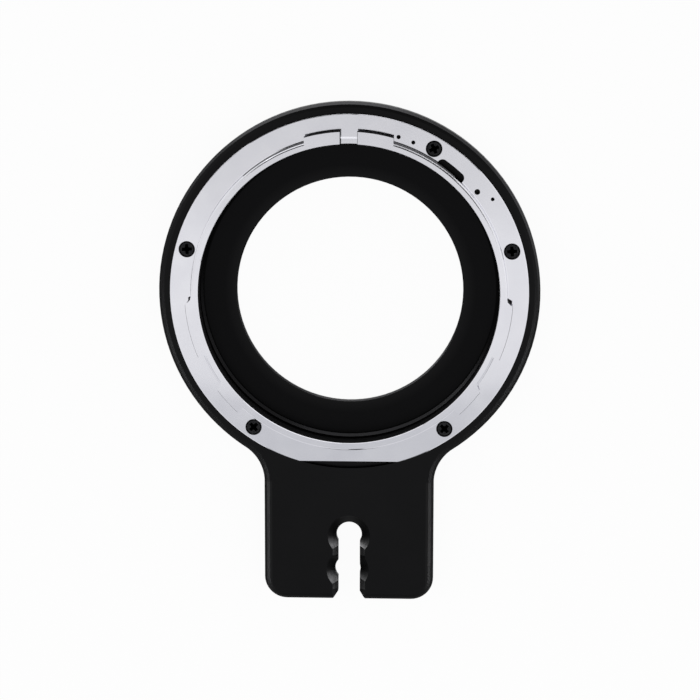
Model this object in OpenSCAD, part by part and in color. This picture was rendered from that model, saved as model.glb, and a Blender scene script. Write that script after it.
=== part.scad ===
// Lens mount plate: a round plate with a slotted tail, carrying a bayonet ring held by five screws.
// The plate lies on its back: the axis of the opening is +Z, the tail runs along -Y,
// and the origin is on that axis in the rearmost face.
// Clock angles are counted in degrees from +Y, clockwise when the ring faces the reader.

/* [Plate] */
// Diameter of the round head
head_d = 90.5; // [89:0.5:96]
// Thickness of the plate without its rear boss
plate_t = 3.5; // [3.3:0.1:5]
// Width of the tail
tail_w = 40.7; // [36:0.1:46]
// Distance from the axis to the end of the tail
tail_reach = 75.1; // [74:0.1:90]
// Radius of the corners at the end of the tail
tail_corner_r = 5.4; // [3:0.1:8]
// Radius of the fillets between the head and the tail
neck_r = 10; // [6:0.5:14]
// Width of the chamfer round the front edge
edge_chamfer = 0.6; // [0.3:0.1:0.8]
// Width of the shallow bevel inside that chamfer
edge_bevel = 0.7; // [0.3:0.1:1]
// Depth of the shallow bevel
bevel_depth = 0.15; // [0.05:0.05:0.3]
// Width of the chamfer round the rear edge
rear_chamfer = 0.5; // [0.2:0.1:0.7]

/* [Pocket] */
// Diameter of the round boss behind the head
boss_d = 86; // [84:0.5:88]
// How far the boss stands behind the plate
boss_h = 2.7; // [2:0.1:5]
// Diameter of the light opening
bore_d = 54; // [40:0.5:60]
// Thickness of the web at the light opening
web_t = 1; // [0.8:0.1:1.2]
// Rise of the web from the light opening to the pocket wall
web_rise = 0.5; // [0:0.1:0.8]
// Bevel in the corner between the web and the pocket wall
corner_bevel = 0.6; // [0.3:0.1:0.8]
// Chamfer at the front edge of the light opening
bore_chamfer = 0.3; // [0.1:0.1:0.5]

/* [Slot] */
// Width of the open slot in the tail
slot_w = 5.2; // [4:0.1:6]
// Diameter of the two round seats in the slot
seat_d = 6.1; // [6:0.1:7]
// Diameter of the countersinks at the front face
countersink_d = 10.2; // [8:0.1:11]
// Distance from the axis to the upper seat
upper_seat_y = 59.4; // [56:0.1:60]
// Distance from the upper seat to the lower seat
seat_spacing = 8.4; // [7:0.1:9]
// How far the lower seat lies to the left of the slot's middle
lower_seat_shift = 0.3; // [0:0.1:0.5]
// Width of the bevel along the front of the slot
slot_bevel = 1.35; // [0.5:0.05:1.6]
// Width of the lead-in at the mouth of the slot
mouth_w = 1.3; // [0.5:0.1:2]
// Height of the lead-in at the mouth of the slot
mouth_h = 1.75; // [0.5:0.05:2.5]

/* [Bayonet ring] */
// Outer diameter of the ring's flange
flange_d = 85; // [83:0.5:86]
// Thickness of the flange
flange_t = 2; // [1.8:0.1:2.4]
// How far the flange stands proud of the plate
flange_proud = 0.8; // [0.4:0.1:1]
// Distance from the axis to the flat on the flange
flat_y = 40.7; // [40.2:0.1:42]
// Outer diameter of the tube
tube_d = 74.8; // [74:0.1:75.2]
// Inner diameter of the tube
tube_bore_d = 71.2; // [70:0.1:71.6]
// Height of the tube above the flange
tube_h = 3; // [2.6:0.1:4]
// Diameter over the lugs
lug_d = 77.6; // [77:0.1:78]
// Thickness of the lugs
lug_t = 1.4; // [1:0.1:1.8]
// Radius of the lugs' outer front edge
lug_round = 0.25; // [0.1:0.05:0.4]
// Radius of the tube's outer front edge
tube_round = 0.55; // [0.2:0.05:0.6]
// Radius of the corner between the flange and the tube
corner_r = 0.3; // [0.1:0.05:0.4]
// Width of the keyway through the top lug
key_w = 4; // [3:0.1:5]
// Height of the sill that the keyway leaves of the tube
key_sill = 0.35; // [0.2:0.05:0.6]

/* [Screws] */
// Diameter of the circle on which the ring's screws stand
screw_circle_d = 79.5; // [79.3:0.1:80]
// Diameter of the screw heads at their flat top
head_of_screw_d = 3.5; // [3.2:0.1:3.6]
// Depth of the screw heads below the flange
screw_sunk = 0.15; // [0.05:0.05:0.2]
// Diameter of the screw shanks
shank_d = 1.9; // [1.7:0.1:2]
// Overall length of the screws
screw_l = 5; // [4:0.5:5.5]
// Depth of the cross recess in the screw heads
cross_depth = 0.7; // [0.4:0.1:0.8]

/* [Hidden] */
$fn = 120;

plate_colour = [0.09, 0.09, 0.095];
ring_colour = [0.80, 0.80, 0.83];
screw_colour = [0.07, 0.07, 0.075];

// Cuts run this far past the faces they open
past = 1;

// Heights above the rearmost face
plate_back = boss_h;
plate_front = plate_back + plate_t;
flange_front = plate_front + flange_proud;
flange_back = flange_front - flange_t;
tube_front = flange_front + tube_h;
screw_top = flange_front - screw_sunk;
screw_tip = screw_top - screw_l;

// Radii round the axis
head_r = head_d / 2;
flange_r = flange_d / 2;
tube_r = tube_d / 2;
lug_r = lug_d / 2;
bore_r = bore_d / 2;
recess_r = flange_r + 0.1;
pocket_r = tube_bore_d / 2 + 0.1;

// The neck fillets run into the head's rim and the tail's sides by a hair, so that they cross them
neck_bite = 0.02;
neck_x = tail_w / 2 + neck_r - neck_bite;
neck_y = -sqrt(pow(head_r + neck_r - neck_bite, 2) - pow(neck_x, 2));
neck_root_share = 0.6;
neck_root = [neck_x, neck_y] * neck_root_share;
tail_straight_end = -(tail_reach - tail_corner_r);
tail_flat_w = tail_w - 2 * tail_corner_r;

// The seats hold screws whose heads sink into right-angled countersinks
countersink_h = (countersink_d - seat_d) / 2;
lower_seat_y = upper_seat_y + seat_spacing;

// Clock angles of the ring's screws, and how far each cross recess is turned
screw_clock = [30, 75, 145, 215, 285];
screw_turn = [25, 5, 45, 43, 4];
screw_clearance_r = 1.1;
screw_hole_r = 1;
screw_tip_bevel = 0.35;

// The cross recess: width and length of its arms at the top and at the bottom, and its round middle
cross_w = [0.78, 0.4];
cross_l = [2.4, 0.8];
cross_middle_d = [1.35, 0.7];

// Lugs as clock angles at the rim: start, end, and how far the start's ramp leads over the tube
side_lug = [93.5, 113.1, 2.4];
low_lug = [126.5, 137.1, 1.4];
top_lug_half_w = 10.45;
lug_back_break = 0.1;
wedge_inner_r = tube_r - past;
wedge_outer_r = lug_r + 3 * past;

// Small break at the front of the tube's bore
tube_bore_break = 0.15;

// Small holes through the flange: clock angle, distance from the axis, diameter
small_holes = [[17.3, 38.9, 1.0], [22.7, 38.9, 0.95], [51, 38.7, 1.35], [56.1, 40.6, 0.9]];

// The notch beside the tube, as clock angles and the distance of its outer edge
notch_start = 33.5;
notch_end = 44.9;
notch_r = 39;
notch_corner_r = 1.3;

// A point at a distance from the axis and a clock angle
function clock(r, a) = [r * sin(a), r * cos(a)];

// The points of an arc about a centre, between two directions
function arc(centre, r, from, to, steps) = [
    for (i = [0 : steps]) let (a = from + (to - from) * i / steps) centre + r * [cos(a), sin(a)]
];

// The plate's edge in section, at a distance r from the centre of its curve
function rim(r) = [
    [r - rear_chamfer, plate_back],
    [r, plate_back + rear_chamfer],
    [r, plate_front - bevel_depth - edge_chamfer],
    [r - edge_chamfer, plate_front - bevel_depth],
    [r - edge_chamfer - edge_bevel, plate_front]
];

// A section through solid material that ends in the plate's edge
function edge_section(r) = concat([[0, plate_back]], rim(r), [[0, plate_front]]);

// The round head
module head() {
    rotate_extrude()
        polygon(edge_section(head_r));
}

// What the inside of one neck fillet leaves free
module neck_round() {
    top = neck_r + edge_chamfer + edge_bevel;
    back = neck_r + rear_chamfer;
    rotate_extrude()
        polygon([
            [0, plate_back - past],
            [back, plate_back - past],
            [back, plate_back],
            [neck_r, plate_back + rear_chamfer],
            [neck_r, plate_front - bevel_depth - edge_chamfer],
            [neck_r + edge_chamfer, plate_front - bevel_depth],
            [top, plate_front],
            [top, plate_front + past],
            [0, plate_front + past]
        ]);
}

// The fillets on both sides of the tail
module neck() {
    for (side = [0, 1])
        mirror([side, 0, 0])
            difference() {
                translate([0, 0, plate_back])
                    linear_extrude(plate_t)
                        polygon([neck_root, [neck_x, neck_y], [neck_root[0], neck_y]]);
                translate([neck_x, neck_y, 0])
                    neck_round();
            }
}

// The tail: its straight sides, its end and its two corners
module tail() {
    right = rim(tail_w / 2);
    left = [for (i = [len(right) - 1 : -1 : 0]) [-right[i][0], right[i][1]]];
    translate([0, neck_root[1], 0])
        rotate([90, 0, 0])
            linear_extrude(neck_root[1] - tail_straight_end)
                polygon(concat(right, left));
    translate([tail_flat_w / 2, tail_straight_end, 0])
        rotate([90, 0, -90])
            linear_extrude(tail_flat_w)
                polygon(edge_section(tail_corner_r));
    for (turn = [0, 1])
        translate([(0.5 - turn) * tail_flat_w, tail_straight_end, 0])
            rotate([0, 0, -90 - 90 * turn])
                rotate_extrude(angle = 90)
                    polygon(edge_section(tail_corner_r));
}

// The boss that carries the web behind the head
module boss() {
    r = boss_d / 2;
    bevel = 0.4;
    rotate_extrude()
        polygon([
            [0, 0], [r - bevel, 0], [r, bevel],
            [r, plate_back + past], [0, plate_back + past]
        ]);
}

// The recess for the flange, the pocket and the light opening, as one turned cut
module pocket_cut() {
    web_top = web_t + web_rise;
    rotate_extrude()
        polygon([
            [0, -past],
            [bore_r, -past],
            [bore_r, web_t - bore_chamfer],
            [bore_r + bore_chamfer, web_t],
            [pocket_r - corner_bevel, web_top],
            [pocket_r, web_top + corner_bevel],
            [pocket_r, flange_back],
            [recess_r, flange_back],
            [recess_r, plate_front + past],
            [0, plate_front + past]
        ]);
}

// One round seat with its countersink
module seat_cut() {
    translate([0, 0, plate_back - past])
        cylinder(d = seat_d, h = plate_t + 2 * past);
    translate([0, 0, plate_front - countersink_h])
        cylinder(d1 = seat_d, d2 = countersink_d + 2 * past, h = countersink_h + past);
}

// The open slot with its front bevel, its mouth and its two seats
module slot_cut() {
    half = slot_w / 2;
    end = tail_reach + past;
    mouth_slope = mouth_w / mouth_h;
    translate([-half, -end, plate_back - past])
        cube([slot_w, end - upper_seat_y, plate_t + 2 * past]);
    translate([0, -upper_seat_y, 0])
        rotate([90, 0, 0])
            linear_extrude(end - upper_seat_y)
                polygon([
                    [-half, plate_front - slot_bevel],
                    [half, plate_front - slot_bevel],
                    [half + slot_bevel + past, plate_front + past],
                    [-half - slot_bevel - past, plate_front + past]
                ]);
    translate([0, 0, plate_back - past])
        linear_extrude(plate_t + 2 * past)
            polygon([
                [-half, -tail_reach + mouth_h],
                [half, -tail_reach + mouth_h],
                [half + mouth_w + past * mouth_slope, -end],
                [-half - mouth_w - past * mouth_slope, -end]
            ]);
    translate([0, -upper_seat_y, 0])
        seat_cut();
    translate([-lower_seat_shift, -lower_seat_y, 0])
        seat_cut();
}

// Moves what follows to the place of one screw
module at_screw(i) {
    place = clock(screw_circle_d / 2, screw_clock[i]);
    translate([place[0], place[1], 0])
        children();
}

module mount_plate() {
    color(plate_colour)
        difference() {
            union() {
                head();
                neck();
                tail();
                boss();
            }
            pocket_cut();
            slot_cut();
            for (i = [0 : len(screw_clock) - 1])
                at_screw(i)
                    translate([0, 0, screw_tip - screw_tip_bevel])
                        cylinder(r = screw_hole_r, h = screw_l, $fn = 32);
        }
}

// The outline of a lug with a ramped start, as seen along the axis
module lug_wedge(lug) {
    ramp = lug[2] / (lug_r - tube_r);
    middle = (lug[0] + lug[1]) / 2;
    polygon([
        clock(wedge_inner_r, lug[0] - ramp * (lug_r - wedge_inner_r)),
        clock(wedge_outer_r, lug[0] + ramp * (wedge_outer_r - lug_r)),
        clock(wedge_outer_r, middle),
        clock(wedge_outer_r, lug[1]),
        clock(wedge_inner_r, lug[1])
    ]);
}

// The lugs: one at the top, and two on each side
module lugs() {
    lug_back = tube_front - lug_t;
    intersection() {
        rotate_extrude()
            polygon([
                [0, lug_back],
                [lug_r - lug_back_break, lug_back],
                [lug_r, lug_back + lug_back_break],
                each arc([lug_r - lug_round, tube_front - lug_round], lug_round, 0, 90, 3),
                [0, tube_front]
            ]);
        translate([0, 0, lug_back - past])
            linear_extrude(lug_t + 2 * past) {
                translate([-top_lug_half_w, wedge_inner_r - past])
                    square([2 * top_lug_half_w, wedge_outer_r - wedge_inner_r + past]);
                for (side = [0, 1])
                    mirror([side, 0, 0]) {
                        lug_wedge(side_lug);
                        lug_wedge(low_lug);
                    }
            }
    }
}

// The flange and the tube as one turned body, still without its bore
module ring_body() {
    rim_break = 0.15;
    corner = arc([tube_r + corner_r, flange_front + corner_r], corner_r, 270, 180, 2);
    edge = arc([tube_r - tube_round, tube_front - tube_round], tube_round, 0, 90, 4);
    rotate_extrude()
        polygon(concat(
            [
                [0, flange_back],
                [flange_r, flange_back],
                [flange_r, flange_front - rim_break],
                [flange_r - rim_break, flange_front]
            ],
            corner,
            edge,
            [[0, tube_front]]
        ));
}

// The bore through the flange and the tube, with a break at its front edge
module tube_bore_cut() {
    r = tube_bore_d / 2;
    rotate_extrude()
        polygon([
            [0, flange_back - past],
            [r, flange_back - past],
            [r, tube_front - tube_bore_break],
            [r + tube_bore_break + past, tube_front + past],
            [0, tube_front + past]
        ]);
}

// The keyway, down to the flange outside and to a sill with a bevel inside
module keyway_cut() {
    sill_front = flange_front + key_sill;
    sill_r = tube_r - 0.25;
    sill_bevel = 0.4;
    inner = tube_bore_d / 2 - past;
    outer = lug_r + past;
    translate([-key_w / 2, 0, 0])
        rotate([90, 0, 90])
            linear_extrude(key_w)
                polygon([
                    [inner, sill_front],
                    [sill_r - sill_bevel, sill_front],
                    [sill_r, flange_front],
                    [outer, flange_front],
                    [outer, tube_front + past],
                    [inner, tube_front + past]
                ]);
}

// The notch in the flange beside the tube, with rounded outer corners
module notch_cut() {
    corner_turn = asin(notch_corner_r / (notch_r - notch_corner_r));
    corner_at = notch_r - notch_corner_r;
    translate([0, 0, flange_back - past])
        linear_extrude(flange_t + 2 * past)
            difference() {
                union() {
                    intersection() {
                        circle(r = notch_r);
                        polygon([
                            [0, 0],
                            clock(flange_r, notch_start + corner_turn),
                            clock(flange_r, notch_end - corner_turn)
                        ]);
                    }
                    intersection() {
                        circle(r = corner_at);
                        polygon([[0, 0], clock(flange_r, notch_start), clock(flange_r, notch_end)]);
                    }
                    for (a = [notch_start + corner_turn, notch_end - corner_turn])
                        translate(clock(corner_at, a))
                            circle(r = notch_corner_r, $fn = 32);
                }
                circle(r = tube_r);
            }
}

module bayonet_ring() {
    seat_top_r = head_of_screw_d / 2 + screw_sunk;
    color(ring_colour)
        difference() {
            union() {
                ring_body();
                lugs();
            }
            tube_bore_cut();
            translate([-flange_r, -flat_y - flange_r, flange_back - past])
                cube([flange_d, flange_r, flange_t + tube_h + 2 * past]);
            keyway_cut();
            notch_cut();
            for (hole = small_holes)
                translate([hole[1] * sin(hole[0]), hole[1] * cos(hole[0]), flange_back - past])
                    cylinder(d = hole[2], h = flange_t + 2 * past, $fn = 32);
            for (i = [0 : len(screw_clock) - 1])
                at_screw(i) {
                    translate([0, 0, flange_back - past])
                        cylinder(r = screw_clearance_r, h = flange_t + past, $fn = 32);
                    translate([0, 0, flange_front - seat_top_r])
                        cylinder(r1 = 0, r2 = seat_top_r + past, h = seat_top_r + past, $fn = 32);
                }
        }
}

// A section through the recess that narrows from the first to the second of two sizes
function cross_section(size) = [
    [-size[0] / 2, past], [-size[0] / 2, 0], [-size[1] / 2, -cross_depth],
    [size[1] / 2, -cross_depth], [size[0] / 2, 0], [size[0] / 2, past]
];

// One arm of a cross recess below z = 0, with sloping ends and flanks
module cross_arm() {
    intersection() {
        translate([0, cross_w[0], 0])
            rotate([90, 0, 0])
                linear_extrude(2 * cross_w[0])
                    polygon(cross_section(cross_l));
        translate([-cross_l[0], 0, 0])
            rotate([90, 0, 90])
                linear_extrude(2 * cross_l[0])
                    polygon(cross_section(cross_w));
    }
}

// A countersunk screw with a cross recess, standing at its own place in the ring
module ring_screw(i) {
    head_r_top = head_of_screw_d / 2;
    shank_r = shank_d / 2;
    color(screw_colour)
        at_screw(i)
            difference() {
                rotate_extrude($fn = 32)
                    polygon([
                        [0, screw_tip],
                        [shank_r - screw_tip_bevel, screw_tip],
                        [shank_r, screw_tip + screw_tip_bevel],
                        [shank_r, screw_top - (head_r_top - shank_r)],
                        [head_r_top, screw_top],
                        [0, screw_top]
                    ]);
                translate([0, 0, screw_top])
                    rotate([0, 0, screw_turn[i]]) {
                        cross_arm();
                        rotate([0, 0, 90])
                            cross_arm();
                        translate([0, 0, -cross_depth])
                            cylinder(d1 = cross_middle_d[1], d2 = cross_middle_d[0], h = cross_depth, $fn = 32);
                    }
            }
}

mount_plate();
bayonet_ring();
ring_screw(0);  // ring_screw_1
ring_screw(1);  // ring_screw_2
ring_screw(2);  // ring_screw_3
ring_screw(3);  // ring_screw_4
ring_screw(4);  // ring_screw_5
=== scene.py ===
import math

import bpy
from mathutils import Matrix, Vector

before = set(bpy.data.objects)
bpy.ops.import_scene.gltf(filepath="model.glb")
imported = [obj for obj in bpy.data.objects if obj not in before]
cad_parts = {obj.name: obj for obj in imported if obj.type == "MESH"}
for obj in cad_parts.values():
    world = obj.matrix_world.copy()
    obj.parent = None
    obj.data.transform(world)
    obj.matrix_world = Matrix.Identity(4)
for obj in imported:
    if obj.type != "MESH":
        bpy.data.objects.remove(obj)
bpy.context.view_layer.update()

MM = 0.001

# The part's own measures that the materials go by, in millimetres
OPENING_RADIUS = 27.0
POCKET_RADIUS = 35.7
PLATE_FRONT = 6.2
TAIL_TOP = -46.0
TAIL_EDGE_LINE = (18.5, 19.7)
UPPER_SEAT = -59.4
LOWER_SEAT_END = -73.0
SEAT_SPACING = 8.4
FLANGE_FRONT = 7.0
FLANGE_RADIUS = 42.5
TUBE_FRONT = 10.0
TUBE_BORE_RADIUS = 35.6
TUBE_RADIUS = 37.4
LUG_RADIUS = 38.8
TOP_LUG_Y = 36.0
KEY_HALF_WIDTH = 2.0
SCREW_CIRCLE_RADIUS = 39.75
SCREW_CLOCKS = (30, 75, 145, 215, 285)
SCREW_SEAT_RADIUS = 1.9
SCREW_HEAD_RADIUS = 1.75
SCREW_TOP = 6.85

# Colours
ANODISED_DARK = (0.0100, 0.0100, 0.0104, 1)
ANODISED_LIGHT = (0.0122, 0.0122, 0.0126, 1)
# Painted shade in the pocket, and darker still in its corner
ANODISED_POCKET_SHADE = (0.0070, 0.0070, 0.0074, 1)
ANODISED_CORNER_SHADE = (0.0034, 0.0034, 0.0036, 1)
# Painted highlight along the tail's edges
ANODISED_EDGE_HIGHLIGHT = (0.016, 0.016, 0.0164, 1)
# Painted highlight on the countersinks' lower halves, lighter on the right
SEAT_HIGHLIGHT_LEFT = (0.039, 0.039, 0.040, 1)
SEAT_HIGHLIGHT_RIGHT = (0.052, 0.052, 0.053, 1)
CHROME_DARK = (0.735, 0.735, 0.785, 1)
CHROME_LIGHT = (0.785, 0.785, 0.83, 1)
# Black paint, also used for painted shade on the ring
BLACK_PAINT_AND_SHADE = (0.004, 0.004, 0.0045, 1)
OXIDE = (0.006, 0.006, 0.008, 1)
# Painted shade on the screws' recesses and sides
PAINTED_SCREW_SHADE = (0.0004, 0.0004, 0.0006, 1)
PAPER = (0.9, 0.9, 0.9, 1)
WHITE = (1, 1, 1)
COOL_WHITE = (0.97, 0.98, 1.0)

# Camera, from a fit of concentric edges that lie at different heights
CAMERA_AIM = Vector((0.26, -13.6, 7.0)) * MM
CAMERA_DISTANCE = 0.62
CAMERA_AZIMUTH = math.radians(2.409)
CAMERA_ELEVATION = math.radians(10.628)
CAMERA_ROLL = math.radians(0.069)
CAMERA_LENS = 134.26
SENSOR_WIDTH = 36.0


def make_camera():
    """The photograph's view: nearly straight down the axis of the opening."""
    data = bpy.data.cameras.new("camera")
    data.lens = CAMERA_LENS
    data.sensor_width = SENSOR_WIDTH
    data.clip_start = 0.01
    data.clip_end = 20
    camera = bpy.data.objects.new("camera", data)
    bpy.context.scene.collection.objects.link(camera)
    back = Vector((
        math.sin(CAMERA_AZIMUTH) * math.cos(CAMERA_ELEVATION),
        math.sin(CAMERA_ELEVATION),
        math.cos(CAMERA_AZIMUTH) * math.cos(CAMERA_ELEVATION),
    ))
    right = Vector((0, 1, 0)).cross(back).normalized()
    up = back.cross(right)
    turn = Matrix((right, up, back)).transposed() @ Matrix.Rotation(CAMERA_ROLL, 3, "Z")
    camera.matrix_world = Matrix.Translation(CAMERA_AIM + CAMERA_DISTANCE * back) @ turn.to_4x4()
    bpy.context.scene.camera = camera


# Materials


class Nodes:
    """A short way to write a material's nodes. Masks are one inside a zone and nought outside."""

    def __init__(self, name):
        self.material = bpy.data.materials.new(name)
        self.material.use_nodes = True
        self.tree = self.material.node_tree
        self.tree.nodes.clear()
        self.output = self.add("ShaderNodeOutputMaterial")

    def add(self, kind, inputs=None, **settings):
        node = self.tree.nodes.new(kind)
        for key, value in settings.items():
            setattr(node, key, value)
        for key, value in (inputs or {}).items():
            self.put(node.inputs[key], value)
        return node

    def put(self, socket, value):
        if isinstance(value, bpy.types.NodeSocket):
            self.tree.links.new(value, socket)
        else:
            socket.default_value = value

    def surface(self, shader):
        """Ends the material with its shader."""
        self.put(self.output.inputs["Surface"], shader.outputs[0])
        return self.material

    def math(self, operation, a, b=0.0):
        node = self.add("ShaderNodeMath", operation=operation)
        self.put(node.inputs[0], a)
        self.put(node.inputs[1], b)
        return node.outputs[0]

    def above(self, value, limit_mm):
        return self.math("GREATER_THAN", value, limit_mm * MM)

    def below(self, value, limit_mm):
        return self.math("LESS_THAN", value, limit_mm * MM)

    def between(self, value, low_mm, high_mm):
        return self.all_of(self.above(value, low_mm), self.below(value, high_mm))

    def all_of(self, *shares):
        result = shares[0]
        for share in shares[1:]:
            result = self.math("MULTIPLY", result, share)
        return result

    def any_of(self, *shares):
        result = shares[0]
        for share in shares[1:]:
            result = self.math("MAXIMUM", result, share)
        return result

    def noise(self, vector, size_mm, detail=2.0):
        scale = 1 / (size_mm * MM)
        node = self.add("ShaderNodeTexNoise", {"Vector": vector, "Scale": scale, "Detail": detail})
        return node.outputs["Fac"]

    def span(self, value, low, high, from_low=0.0, from_high=1.0):
        """Carries a value from one range to another and stops at its ends."""
        return self.add("ShaderNodeMapRange", {
            "Value": value,
            "From Min": from_low,
            "From Max": from_high,
            "To Min": low,
            "To Max": high,
        }).outputs["Result"]

    def mix(self, share, a, b):
        node = self.add("ShaderNodeMix", data_type="RGBA")
        self.put(node.inputs["Factor"], share)
        self.put(node.inputs["A"], a)
        self.put(node.inputs["B"], b)
        return node.outputs["Result"]

    def bump(self, height, distance_mm, strength=1.0, normal=None):
        node = self.add("ShaderNodeBump", {
            "Height": height,
            "Distance": distance_mm * MM,
            "Strength": strength,
        })
        if normal is not None:
            self.put(node.inputs["Normal"], normal)
        return node.outputs["Normal"]

    def place(self):
        """The position in the part's own frame, its coordinates, and the distance from the axis."""
        coordinates = self.add("ShaderNodeTexCoord").outputs["Object"]
        x, y, z = self.add("ShaderNodeSeparateXYZ", {"Vector": coordinates}).outputs
        squares = self.math("ADD", self.math("MULTIPLY", x, x), self.math("MULTIPLY", y, y))
        return coordinates, x, y, z, self.math("SQRT", squares)

    def from_screws(self, x, y):
        """Distance from the nearest ring screw's axis."""
        flat = self.add("ShaderNodeCombineXYZ", {"X": x, "Y": y}).outputs[0]
        circle = SCREW_CIRCLE_RADIUS * MM
        nearest = 1.0
        for clock in SCREW_CLOCKS:
            turn = math.radians(clock)
            axis = (circle * math.sin(turn), circle * math.cos(turn), 0)
            away = self.add("ShaderNodeVectorMath", {0: flat, 1: axis}, operation="DISTANCE")
            nearest = self.math("MINIMUM", away.outputs["Value"], nearest)
        return nearest


def seat_highlight_zone(n, place, x, y, z):
    """The lower halves of the two countersinks, where a highlight is painted, broken into streaks.
    """
    down = n.math("SUBTRACT", n.math("MULTIPLY", y, -1.0), -UPPER_SEAT * MM)
    below_seat = n.math("FLOORED_MODULO", down, SEAT_SPACING * MM)
    on_cone = n.all_of(
        n.between(x, -5.4, 5.4),
        n.between(y, LOWER_SEAT_END, UPPER_SEAT),
        n.between(z, 2.8, PLATE_FRONT - 0.03),
    )
    streak = n.add("ShaderNodeMapping", {"Vector": place, "Scale": (1.0, 0.25, 1.0)}).outputs[0]
    return n.all_of(
        on_cone,
        n.span(below_seat, 0, 1, 0.2 * MM, 2.4 * MM),
        n.below(below_seat, 4.9),
        n.span(n.noise(streak, 0.35, 2.0), 0.45, 1.25, 0.3, 0.7),
    )


def black_anodised():
    """Fine bead-blasted aluminium, anodised black, with painted shade in the pocket and its corner,
    and painted highlights on the countersinks' lower halves and along the tail's edges.
    """
    n = Nodes("black_anodised")
    place, x, y, z, radius = n.place()
    grain = n.noise(place, 0.16, 3.0)
    cloud = n.noise(place, 14.0, 2.0)
    pocket_start = OPENING_RADIUS + 0.4
    pocket_end = POCKET_RADIUS + 0.02
    # Painted shade in the pocket, darker from the opening's edge outwards
    pocket_shade = n.all_of(
        n.span(radius, 0, 1, pocket_start * MM, 30 * MM),
        n.between(radius, pocket_start, pocket_end),
    )
    # Painted shade, darkest, in the pocket's corner by its wall
    corner_shade = n.between(radius, 34.8, pocket_end)
    # Painted highlight: a lighter line along each side of the tail, a little in from its edge
    tail_edge_highlight = n.all_of(n.between(n.math("ABSOLUTE", x), *TAIL_EDGE_LINE), n.below(y, TAIL_TOP))
    # Painted highlight colour for the countersinks, lighter on the right
    seat_highlight_colour = n.mix(n.above(x, 0.0), SEAT_HIGHLIGHT_LEFT, SEAT_HIGHLIGHT_RIGHT)
    colour = n.mix(cloud, ANODISED_DARK, ANODISED_LIGHT)
    colour = n.mix(pocket_shade, colour, ANODISED_POCKET_SHADE)
    colour = n.mix(corner_shade, colour, ANODISED_CORNER_SHADE)
    # Painted highlight on the countersinks' lower halves
    colour = n.mix(seat_highlight_zone(n, place, x, y, z), colour, seat_highlight_colour)
    colour = n.mix(tail_edge_highlight, colour, ANODISED_EDGE_HIGHLIGHT)
    return n.surface(n.add("ShaderNodeBsdfPrincipled", {
        "Base Color": colour,
        "Metallic": 1.0,
        "Roughness": n.span(cloud, 0.275, 0.32),
        "Specular Tint": (0.58, 0.58, 0.58, 1),
        "Normal": n.bump(grain, 0.012, 0.4),
    }))


def lead_in_shade(n, x, y, radius):
    """Painted shade on the side lugs' starts, between two clock angles on either side that grow
    with the radius.
    """
    clock = n.math("DEGREES", n.math("ABSOLUTE", n.math("ARCTAN2", x, y)))
    first = n.span(radius, 91.3, 92.2, 37.5 * MM, 38.6 * MM)
    last = n.span(radius, 92.1, 93.3, 37.5 * MM, 38.33 * MM)
    end = n.span(x, 38.2 * MM, 38.58 * MM, -1 * MM, 1 * MM)
    return n.all_of(
        n.above(radius, TUBE_RADIUS + 0.05),
        n.math("LESS_THAN", radius, end),
        n.math("GREATER_THAN", clock, first),
        n.math("LESS_THAN", clock, last),
    )


def black_paint_and_painted_shade(n, x, y, z, radius):
    """Where the ring is black: black paint in its tube and holes, and painted shade round its
    screws, on the key's walls, on the lugs' outer walls and lead-ins, and along the top of the
    tube's outer wall.
    """
    past = TUBE_FRONT + 0.1
    lug_start = n.span(
        y,
        (LUG_RADIUS - 0.09) * MM,
        (LUG_RADIUS - 0.19) * MM,
        (TOP_LUG_Y - 0.1) * MM,
        TOP_LUG_Y * MM,
    )
    wide = n.math("ABSOLUTE", x)
    # Painted shade along the top of the tube's outer wall
    tube_wall_shade = n.all_of(
        n.between(radius, TUBE_RADIUS - 0.2, TUBE_RADIUS + 0.1),
        n.above(y, 28),
        n.between(z, FLANGE_FRONT + 0.1, TUBE_FRONT - 0.25),
    )
    return n.any_of(
        n.all_of(n.below(z, FLANGE_FRONT - 0.02), n.below(radius, FLANGE_RADIUS - 0.3)),
        # Painted shade round each screw head, on the countersink's wall
        n.below(n.from_screws(x, y), SCREW_SEAT_RADIUS + 0.05),
        n.below(radius, TUBE_BORE_RADIUS + 0.02),
        # Painted shade: dark lines on the key's side walls and the edges above them
        n.all_of(
            n.between(wide, KEY_HALF_WIDTH - 0.1, KEY_HALF_WIDTH + 0.09),
            n.above(y, 0.0),
            n.between(z, FLANGE_FRONT + 0.32, past),
        ),
        # Painted shade on the lugs' outer walls, reaching further in on the top lug
        n.all_of(n.math("GREATER_THAN", radius, lug_start), n.between(z, FLANGE_FRONT + 0.2, past)),
        # Painted shade at the side lugs' lead-ins
        lead_in_shade(n, x, y, radius),
        # Painted shade on the tube's outer wall, at eight tenths
        n.math("MULTIPLY", tube_wall_shade, 0.8),
    )


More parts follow.
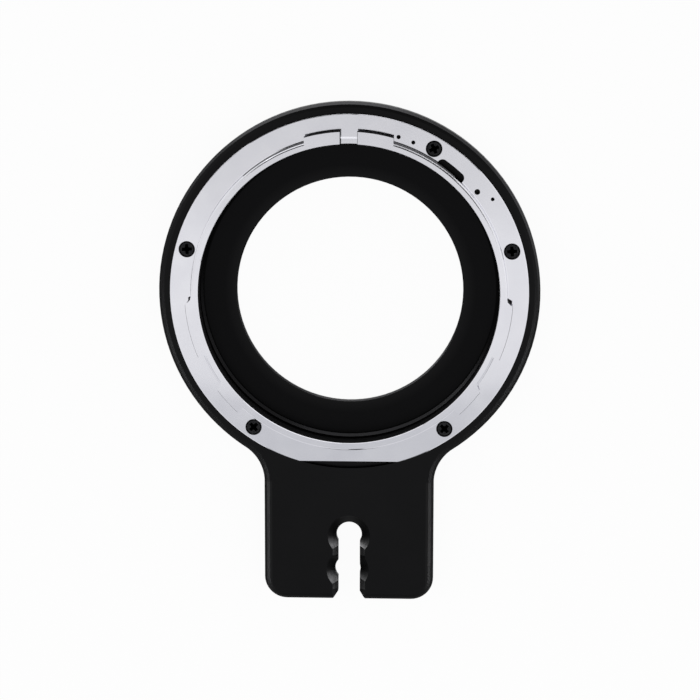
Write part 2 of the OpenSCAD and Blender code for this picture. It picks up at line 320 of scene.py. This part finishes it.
def satin_chrome():
    """Satin chrome plate, faintly wavy, black where it is painted and where shade is painted, and
    with a crisp edge on the lugs.
    """
    n = Nodes("satin_chrome")
    place, x, y, z, radius = n.place()
    black = black_paint_and_painted_shade(n, x, y, z, radius)
    lug_edge = n.all_of(n.between(radius, 38.5, LUG_RADIUS - 0.04), n.above(z, TUBE_FRONT - 0.3))
    grain = n.noise(place, 0.25, 3.0)
    wave = n.noise(place, 11.0, 1.0)
    cloud = n.noise(place, 7.0, 3.0)
    chrome = n.mix(n.span(cloud, 0, 1, 0.3, 0.7), CHROME_DARK, CHROME_LIGHT)
    # The vector sockets of this node have no name of their own: 4 is its first value, 5 its second
    normal = n.add("ShaderNodeMix", data_type="VECTOR")
    n.put(normal.inputs["Factor"], lug_edge)
    n.put(normal.inputs[4], n.bump(grain, 0.002, 0.4, n.bump(wave, 0.03, 1.0)))
    n.put(normal.inputs[5], (0.0, 0.0, 1.0))
    gloss = {"Factor": black, "A": n.span(cloud, 0.08, 0.12), "B": 0.5}
    return n.surface(n.add("ShaderNodeBsdfPrincipled", {
        "Base Color": n.mix(black, chrome, BLACK_PAINT_AND_SHADE),
        "Metallic": n.math("SUBTRACT", 1.0, black),
        "Roughness": n.add("ShaderNodeMix", gloss).outputs["Result"],
        "Specular IOR Level": 0.15,
        "Normal": normal.outputs["Result"],
    }))


def black_steel():
    """Black oxide on small machined screws, with painted shade in the cross recess and round the
    head.
    """
    n = Nodes("black_steel")
    place, x, y, z, _ = n.place()
    grain = n.noise(place, 0.3, 2.0)
    inner_head = n.below(n.from_screws(x, y), SCREW_HEAD_RADIUS - 0.15)
    top = n.all_of(n.above(z, SCREW_TOP - 0.02), inner_head)
    shine = n.span(grain, 0.08, 0.42, 0.3, 0.7)
    return n.surface(n.add("ShaderNodeBsdfPrincipled", {
        # Painted shade, near black and without reflection, on all but the head's top face
        "Base Color": n.mix(top, PAINTED_SCREW_SHADE, OXIDE),
        "Roughness": n.span(grain, 0.30, 0.42),
        "Specular IOR Level": n.math("MULTIPLY", top, shine),
        "Normal": n.bump(grain, 0.01, 0.6),
    }))


def dress(node, material):
    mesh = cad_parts[node].data
    mesh.materials.clear()
    mesh.materials.append(material)


# Stage and light

FLOOR_SIZE = 20.0
FLOOR_GLOW = 0.95
WORLD_LEVEL = 0.04
CARD_Z = 0.62
LOW_CARD_Z = 0.61
PANEL_DISTANCE = 1.0


def make_floor():
    """Plain white to the eye and to mirrors, and otherwise as it is lit, with the part's shadow."""
    mesh = bpy.data.meshes.new("floor")
    h = FLOOR_SIZE / 2
    mesh.from_pydata([(-h, -h, 0), (h, -h, 0), (h, h, 0), (-h, h, 0)], [], [(0, 1, 2, 3)])
    floor = bpy.data.objects.new("floor", mesh)
    bpy.context.scene.collection.objects.link(floor)
    n = Nodes("floor_white")
    path = n.add("ShaderNodeLightPath").outputs
    seen = n.any_of(path["Is Glossy Ray"], path["Is Transmission Ray"], path["Is Camera Ray"])
    lit = n.add("ShaderNodeBsdfDiffuse", {"Color": PAPER})
    glow = n.add("ShaderNodeEmission")
    mesh.materials.append(n.surface(n.add("ShaderNodeMixShader", {
        0: n.math("MULTIPLY", seen, FLOOR_GLOW),
        1: lit.outputs[0],
        2: glow.outputs[0],
    })))


def make_world(level):
    world = bpy.data.worlds.new("studio")
    bpy.context.scene.world = world
    world.use_nodes = True
    background = world.node_tree.nodes["Background"].inputs
    background["Strength"].default_value = level
    background["Color"].default_value = (*WHITE, 1)


def add_light(name, place, aim, size, radiance, colour):
    """A rectangular softbox of a given radiance, so that a mirror shows it at that brightness."""
    data = bpy.data.lights.new(name, "AREA")
    data.shape = "RECTANGLE"
    data.size, data.size_y = size
    data.energy = radiance * math.pi * size[0] * size[1]
    data.color = colour
    light = bpy.data.objects.new(name, data)
    bpy.context.scene.collection.objects.link(light)
    place = Vector(place)
    light.location = place
    light.rotation_mode = "QUATERNION"
    light.rotation_quaternion = (Vector(aim) - place).to_track_quat("-Z", "Y")
    light.visible_camera = False
    return light


def overhead(name, x, y, radiance, colour=WHITE, z=CARD_Z):
    """A level softbox over the part, from a range in x and a range in y."""
    middle = (sum(x) / 2, sum(y) / 2)
    size = (x[1] - x[0], y[1] - y[0])
    return add_light(name, (*middle, z), (*middle, 0), size, radiance, colour)


def around(name, clock, elevation, radiance, colour=WHITE):
    """A softbox round the part, from a range of clock angles and a range of elevations."""
    turn = math.radians(sum(clock) / 2)
    rise = math.radians(sum(elevation) / 2)
    flat = PANEL_DISTANCE * math.cos(rise)
    place = (flat * math.sin(turn), flat * math.cos(turn), PANEL_DISTANCE * math.sin(rise))
    wide = 2 * flat * math.tan(math.radians(clock[1] - clock[0]) / 2)
    high = 2 * PANEL_DISTANCE * math.tan(math.radians(elevation[1] - elevation[0]) / 2)
    return add_light(name, place, (0, 0, 0), (wide, high), radiance, colour)


make_camera()
make_floor()
make_world(WORLD_LEVEL)
overhead("card_upper", (-0.25, 0.25), (-0.147, 0.01), 0.78)
overhead("card_middle", (-0.25, 0.25), (-0.147, -0.06), 0.15, z=LOW_CARD_Z)
overhead("card_lower", (-0.48, 0.48), (-0.60, -0.147), 0.67, COOL_WHITE)
around("low_right_panel", (110, 180), (0, 46), 0.85)
around("low_left_panel", (180, 250), (0, 46), 0.85)
around("top_left_box", (-38, 0), (6, 28), 1.1)
around("top_right_box", (0, 50), (6, 28), 1.3)
around("right_low", (50, 114), (0, 32), 1.0)
around("right_high", (50, 114), (32, 68), 0.98)
around("left_low", (246, 322), (2, 32), 0.92)
around("left_high", (246, 322), (32, 68), 0.88)

# Lamps that are flagged off the bright ring
edge_lamps = [
    overhead("strip_left", (-0.40, -0.34), (-0.33, -0.19), 13.0, z=LOW_CARD_Z),
    overhead("strip_right", (0.28, 0.34), (-0.33, -0.19), 13.0, z=LOW_CARD_Z),
    overhead("fill", (-0.25, 0.25), (0.02, 0.40), 0.3),
    around("edge_top", (-45, 20), (0, 25), 9.5),
    around("edge_right", (20, 100), (0, 20), 4.0),
    around("edge_right_mid", (66, 84), (0, 14), 2.0),
    around("edge_left", (292, 312), (12, 32), 32.0),
    around("edge_low_left", (220, 236), (0, 14), 0.8),
]
plate_only = bpy.data.collections.new("plate_only")
plate_only.objects.link(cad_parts["mount_plate"])
for lamp in edge_lamps:
    lamp.light_linking.receiver_collection = plate_only

materials = {"mount_plate": black_anodised(), "bayonet_ring": satin_chrome()}
screw_material = black_steel()
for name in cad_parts:
    dress(name, materials.get(name, screw_material))

bpy.context.scene.view_settings.view_transform = "Standard"
